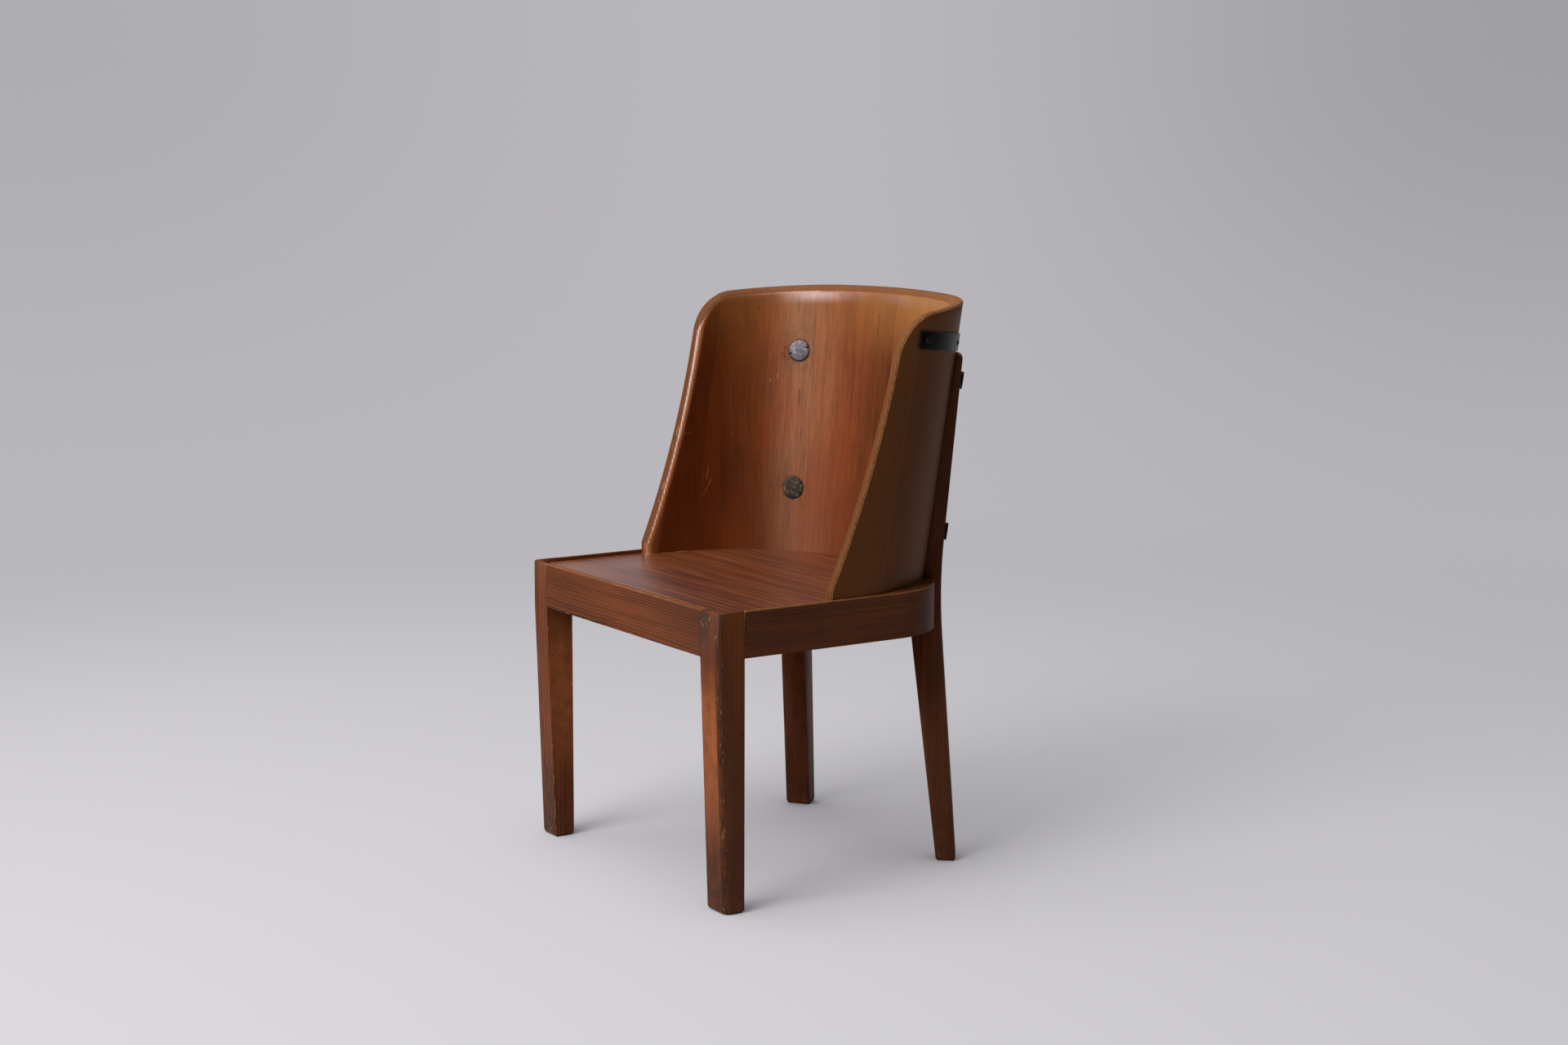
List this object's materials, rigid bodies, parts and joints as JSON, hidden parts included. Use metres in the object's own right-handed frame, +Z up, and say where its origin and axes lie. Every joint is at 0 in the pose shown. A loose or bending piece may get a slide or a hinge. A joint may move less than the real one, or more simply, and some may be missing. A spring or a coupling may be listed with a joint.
{
  "type": "barrel-back side chair",
  "caption": "Low wooden chair with a straight-fronted seat frame, a leaning barrel back of upright staves, rear posts bolted through the back and an iron strap round it.",
  "frame": {"origin": "on the floor, under the middle of the chair's bounding box", "axes": "+Z up, the front of the chair faces -Y, +X on the right of a person who looks at its front"},
  "size_m": [0.5494, 0.5012, 0.8244],
  "materials": {
    "frame_wood": "reddish-brown stained pine, satin, worn at the edges",
    "seat_wood": "reddish-brown stained pine, satin, rubbed",
    "back_wood": "orange-brown stained pine, satin with glossy rim",
    "bolt_iron": "dull grey iron, pitted",
    "nut_iron": "dark iron",
    "strap_iron": "blue-black forged iron with bright edges",
    "nail_iron": "dark forged iron"
  },
  "bodies": {
    "root": {"front_leg_left": "frame_wood", "front_leg_right": "frame_wood", "front_rail": "frame_wood", "side_rail_left": "frame_wood", "side_rail_right": "frame_wood", "rear_rail": "frame_wood", "rear_post_left": "frame_wood", "rear_post_right": "frame_wood", "seat_board": "seat_wood", "stave_left_wing": "back_wood", "stave_left_side": "back_wood", "stave_left_post": "back_wood", "stave_left_rear": "back_wood", "stave_left_center": "back_wood", "stave_right_wing": "back_wood", "stave_right_side": "back_wood", "stave_right_post": "back_wood", "stave_right_rear": "back_wood", "stave_right_center": "back_wood", "bolts_upper": "bolt_iron", "bolts_lower": "bolt_iron", "bolt_nuts": "nut_iron", "back_strap": "strap_iron", "strap_nails": "nail_iron"}
  },
  "joints": []
}
